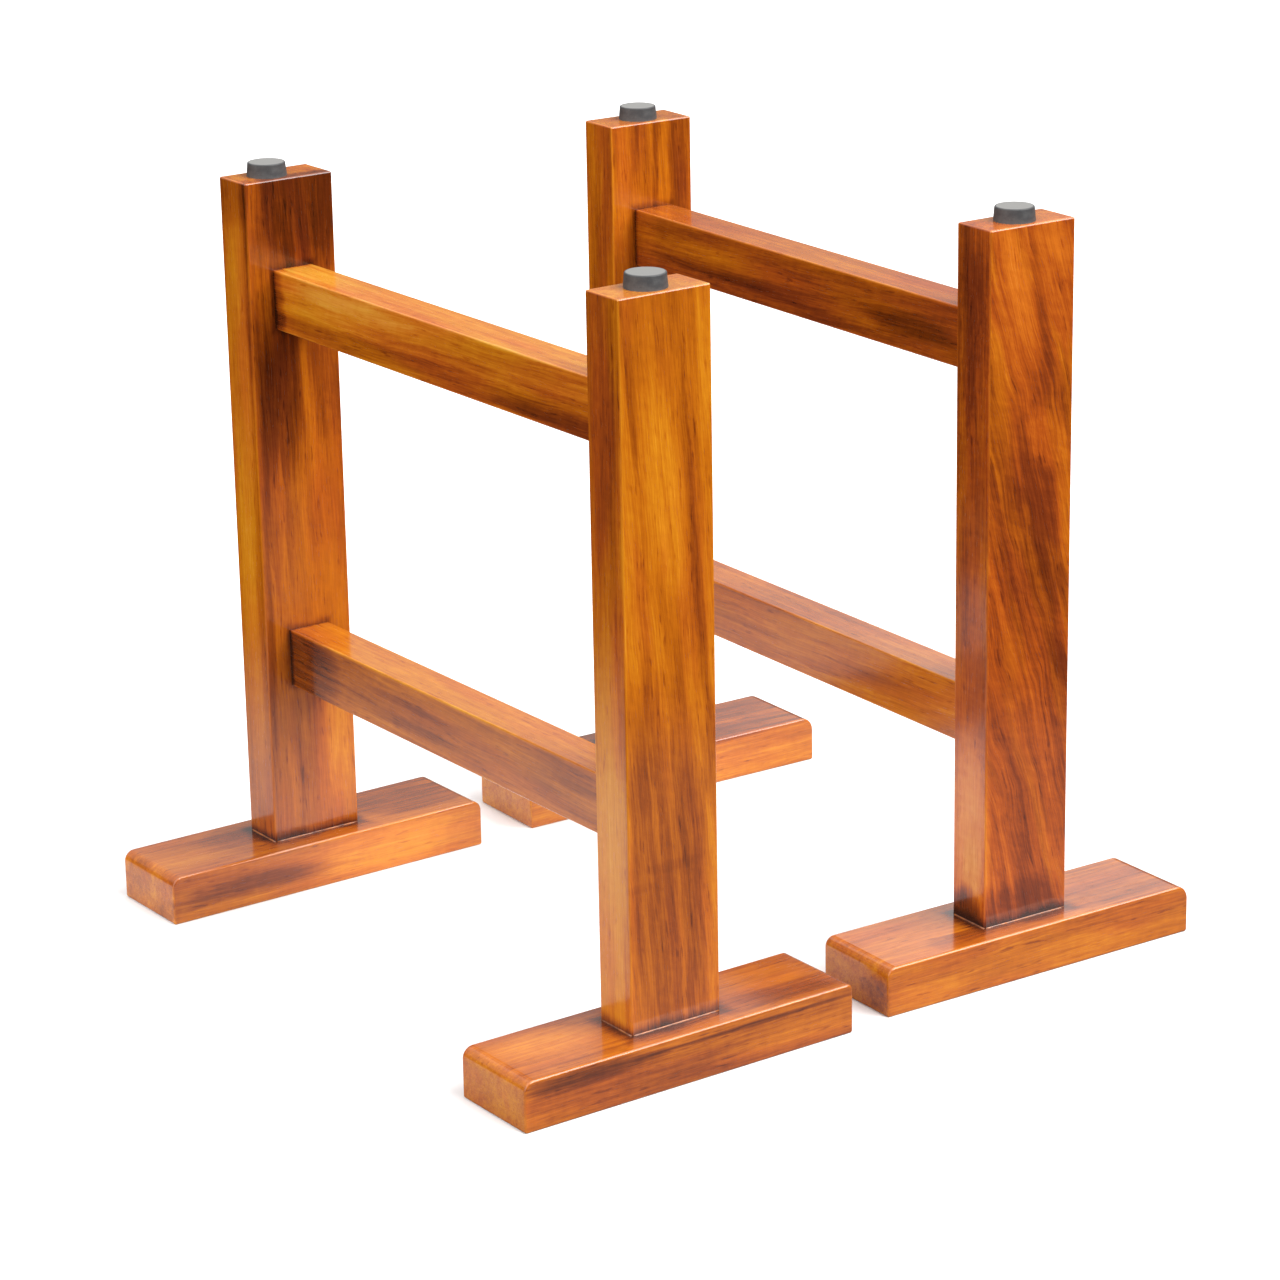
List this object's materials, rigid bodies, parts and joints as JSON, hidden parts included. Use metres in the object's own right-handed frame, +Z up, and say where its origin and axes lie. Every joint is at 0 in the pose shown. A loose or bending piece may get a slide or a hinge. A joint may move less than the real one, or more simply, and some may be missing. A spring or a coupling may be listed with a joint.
{
  "type": "pair of trestle stands",
  "caption": "Pair of low wooden H-shaped trestle stands on crosswise feet, with a rubber pad on top of each post to carry a long box, board or instrument.",
  "frame": {"origin": "on the floor, under the middle of the box round both stands", "axes": "+X from the left stand to the right stand, along the feet; +Y from the front posts to the rear posts, along the rails; +Z up"},
  "size_m": [0.652, 0.597, 0.602],
  "materials": {
    "post_wood": "gloss lacquer over streaked hardwood",
    "rail_wood": "gloss lacquer over streaked hardwood",
    "foot_wood": "gloss lacquer over streaked hardwood",
    "rubber": "matt",
    "screw_steel": "zinc plated"
  },
  "bodies": {
    "left_stand": {"left_front_post": "post_wood", "left_rear_post": "post_wood", "left_upper_rail": "rail_wood", "left_lower_rail": "rail_wood", "left_front_foot": "foot_wood", "left_rear_foot": "foot_wood", "left_front_pad": "rubber", "left_rear_pad": "rubber", "left_front_foot_screws": "screw_steel", "left_rear_foot_screws": "screw_steel"},
    "right_stand": {"right_front_post": "post_wood", "right_rear_post": "post_wood", "right_upper_rail": "rail_wood", "right_lower_rail": "rail_wood", "right_front_foot": "foot_wood", "right_rear_foot": "foot_wood", "right_front_pad": "rubber", "right_rear_pad": "rubber", "right_front_foot_screws": "screw_steel", "right_rear_foot_screws": "screw_steel"}
  },
  "joints": [
    {"name": "stand_spacing", "type": "slide", "parent": "left_stand", "child": "right_stand", "axis": [1, 0, 0], "range_m": [-0.03, 0.65]}
  ]
}
